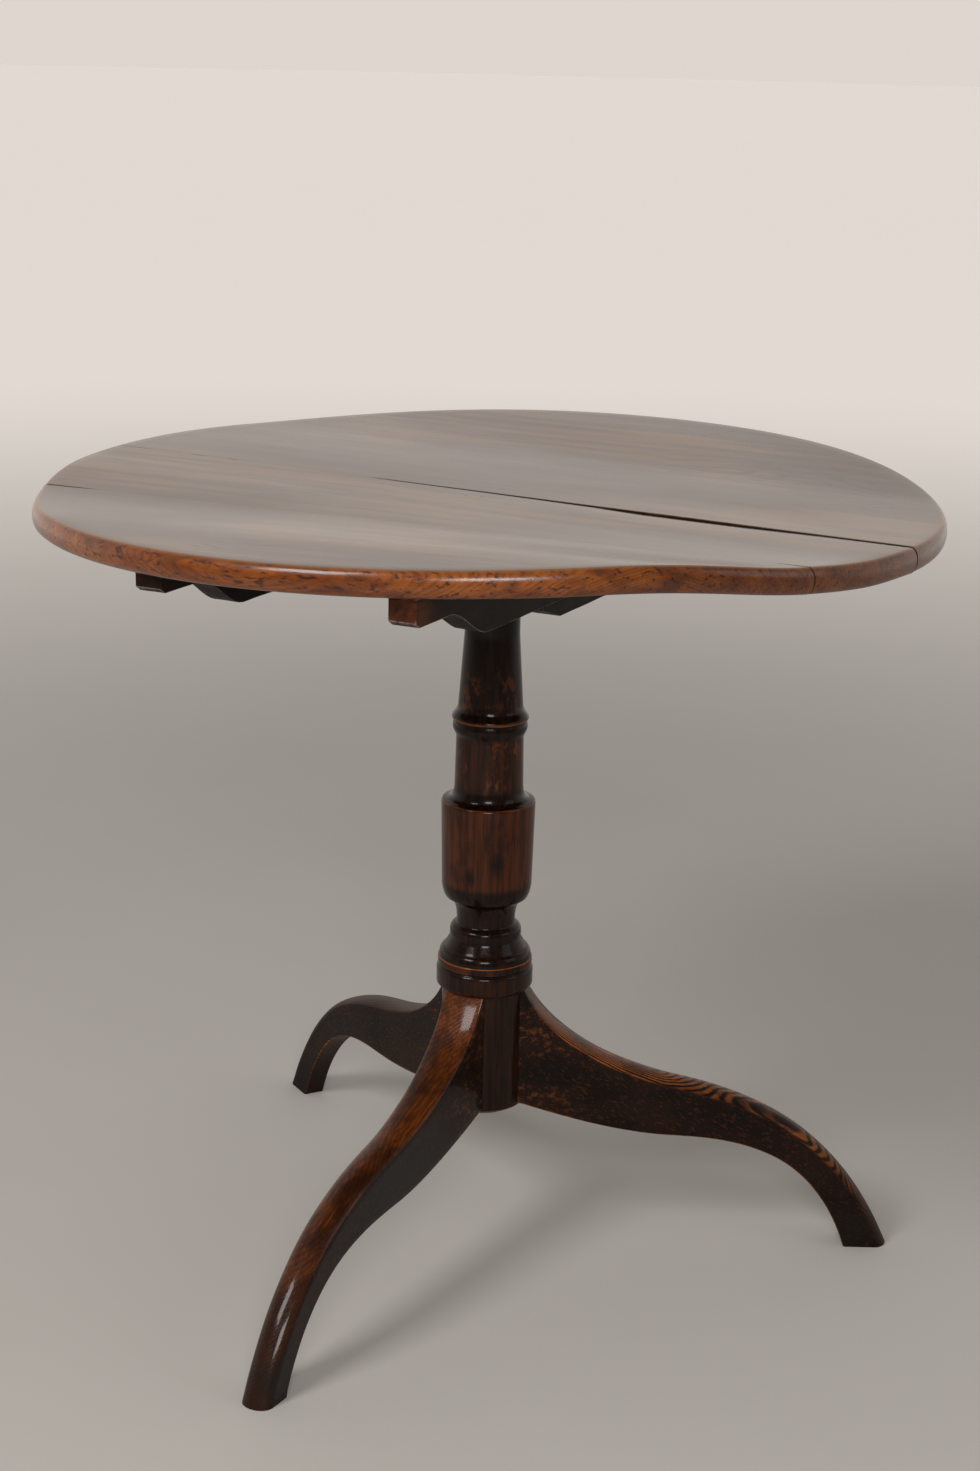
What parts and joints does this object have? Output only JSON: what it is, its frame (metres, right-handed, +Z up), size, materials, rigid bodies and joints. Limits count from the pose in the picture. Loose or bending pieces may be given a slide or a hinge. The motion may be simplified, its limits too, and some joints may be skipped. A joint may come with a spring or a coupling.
{
  "type": "tilt top table",
  "caption": "Round wooden tilt top tripod table: a warped board top hinged on a block over a turned column, with curved legs and a sliding catch.",
  "frame": {"origin": "on the floor, under the centre of the round top and on the column's axis", "axes": "+Z up, +X towards the right-hand leg, +Y away from the viewer; the boards' grain runs at minus 27 degrees from +X"},
  "size_m": [0.766, 0.7659, 0.7061],
  "materials": {
    "top_elm": "waxed satin",
    "batten_wood": "dull, dark stained",
    "column_wood": "glossy, dark stained and polished",
    "leg_wood": "polished, worn on the edges",
    "catch_brass": "aged brass",
    "screw_steel": "dull steel",
    "brace_iron": "dark wrought iron"
  },
  "bodies": {
    "pedestal": {"tilt_block": "batten_wood", "column": "column_wood", "tenon_wedge": "top_elm", "right_leg": "leg_wood", "back_leg": "leg_wood", "front_leg": "leg_wood", "brace_plate": "brace_iron", "brace_nails": "brace_iron", "keeper_plate": "catch_brass", "keeper_screws": "screw_steel"},
    "top": {"back_board": "top_elm", "middle_board": "top_elm", "front_board": "top_elm", "left_batten": "batten_wood", "right_batten": "batten_wood", "batten_screws": "screw_steel", "catch_plate": "catch_brass", "catch_screws": "screw_steel"},
    "catch": {"catch_bolt": "catch_brass", "catch_knob": "catch_brass"}
  },
  "joints": [
    {"name": "top_tilt", "type": "hinge", "parent": "pedestal", "child": "top", "pos_m": [0.03632, 0.07128, 0.65161], "axis": [-0.891, 0.454, 0], "range_deg": [0, 90]},
    {"name": "catch_slide", "type": "slide", "parent": "top", "child": "catch", "axis": [0.454, 0.891, 0], "range_m": [0, 0.008]}
  ]
}
